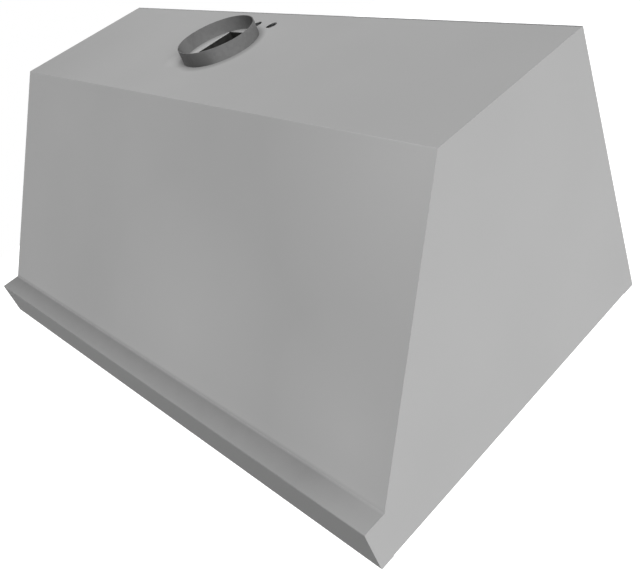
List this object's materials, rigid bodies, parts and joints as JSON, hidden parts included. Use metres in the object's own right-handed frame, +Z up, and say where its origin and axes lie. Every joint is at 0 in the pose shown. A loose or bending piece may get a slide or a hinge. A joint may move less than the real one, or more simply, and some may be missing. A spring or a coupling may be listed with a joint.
{
  "type": "wall-mounted range hood",
  "caption": "Wall-mounted canopy range hood with sloped front, upright lip, round duct collar, baffle filters, blower, damper, lamps and knobs.",
  "frame": {"origin": "centre of the four wall-screw holes, on the wall plane", "axes": "+X to the right seen from the front, +Y into the wall, +Z up"},
  "size_m": [1.2192, 0.6096, 0.481],
  "materials": {
    "shell_steel": "satin sheet, fine brushed",
    "collar_steel": "matte galvanised sheet",
    "inner_steel": "bright folded sheet",
    "galvanised": "galvanised sheet",
    "baffle_steel": "polished channels",
    "bright_metal": "polished",
    "motor_paint": "black enamel",
    "cast_aluminium": "as cast",
    "lens_glass": "frosted",
    "knob_metal": "turned satin",
    "switch_plastic": "moulded",
    "capacitor_plastic": "moulded",
    "magnet_metal": "nickel plated"
  },
  "bodies": {
    "hood": {"canopy_wrap": "shell_steel", "right_side_panel": "shell_steel", "left_side_panel": "shell_steel", "back_panel": "galvanised", "duct_collar": "collar_steel", "light_panel": "shell_steel", "wiring_cover": "galvanised", "left_lamp_can": "cast_aluminium", "right_lamp_can": "cast_aluminium", "left_lamp_trim": "bright_metal", "right_lamp_trim": "bright_metal", "left_lamp_lens": "lens_glass", "right_lamp_lens": "lens_glass", "fan_switch": "switch_plastic", "light_switch": "switch_plastic", "switch_nuts": "bright_metal", "grease_gutter": "inner_steel", "cup_rail": "inner_steel", "filter_magnets": "magnet_metal", "right_filter_rail": "inner_steel", "left_filter_rail": "inner_steel", "blower_scroll": "galvanised", "blower_left_plate": "galvanised", "blower_right_plate": "galvanised", "left_inlet_ring": "galvanised", "right_inlet_ring": "galvanised", "blower_flange": "galvanised", "blower_studs": "bright_metal", "blower_nuts": "bright_metal", "motor": "motor_paint", "motor_bracket": "galvanised", "motor_screws": "bright_metal", "damper_frame": "galvanised", "damper_spindle": "bright_metal", "junction_box": "galvanised", "junction_cover": "galvanised", "junction_screws": "bright_metal", "run_capacitor": "capacitor_plastic", "capacitor_strap": "galvanised"},
    "blower_rotor": {"blower_wheel": "galvanised", "motor_shaft": "bright_metal"},
    "front_damper": {"front_damper_flap": "cast_aluminium"},
    "rear_damper": {"rear_damper_flap": "cast_aluminium"},
    "fan_control": {"fan_knob": "knob_metal", "fan_shaft": "bright_metal"},
    "light_control": {"light_knob": "knob_metal", "light_shaft": "bright_metal"},
    "cup": {"grease_cup": "inner_steel"},
    "left_filter": {"left_filter_frame": "inner_steel", "left_filter_lower_baffles": "baffle_steel", "left_filter_upper_baffles": "baffle_steel", "left_filter_handle": "bright_metal"},
    "middle_filter": {"middle_filter_frame": "inner_steel", "middle_filter_lower_baffles": "baffle_steel", "middle_filter_upper_baffles": "baffle_steel", "middle_filter_handle": "bright_metal"},
    "right_filter": {"right_filter_frame": "inner_steel", "right_filter_lower_baffles": "baffle_steel", "right_filter_upper_baffles": "baffle_steel", "right_filter_handle": "bright_metal"}
  },
  "joints": [
    {"name": "blower_spin", "type": "hinge", "parent": "hood", "child": "blower_rotor", "pos_m": [-0.076, -0.2081, 0.01], "axis": [1, 0, 0], "continuous": true},
    {"name": "front_damper_swing", "type": "hinge", "parent": "hood", "child": "front_damper", "pos_m": [-0.076, -0.136, 0.1088], "axis": [-1, 0, 0], "range_deg": [0, 75]},
    {"name": "rear_damper_swing", "type": "hinge", "parent": "hood", "child": "rear_damper", "pos_m": [-0.076, -0.136, 0.1088], "axis": [1, 0, 0], "range_deg": [0, 75]},
    {"name": "fan_turn", "type": "hinge", "parent": "hood", "child": "fan_control", "pos_m": [0.055, -0.5434, -0.252], "axis": [0, 0, 1], "range_deg": [0, 135]},
    {"name": "light_turn", "type": "hinge", "parent": "hood", "child": "light_control", "pos_m": [-0.055, -0.5434, -0.252], "axis": [0, 0, 1], "range_deg": [0, 90]},
    {"name": "cup_slide", "type": "slide", "parent": "hood", "child": "cup", "axis": [-1, 0, 0], "range_m": [0, 0.1]},
    {"name": "left_filter_drop", "type": "hinge", "parent": "hood", "child": "left_filter", "pos_m": [-0.38973, -0.0612, -0.23], "axis": [1, 0, 0], "range_deg": [0, 45]},
    {"name": "middle_filter_drop", "type": "hinge", "parent": "hood", "child": "middle_filter", "pos_m": [0, -0.0612, -0.23], "axis": [1, 0, 0], "range_deg": [0, 45]},
    {"name": "right_filter_drop", "type": "hinge", "parent": "hood", "child": "right_filter", "pos_m": [0.38973, -0.0612, -0.23], "axis": [1, 0, 0], "range_deg": [0, 45]}
  ]
}
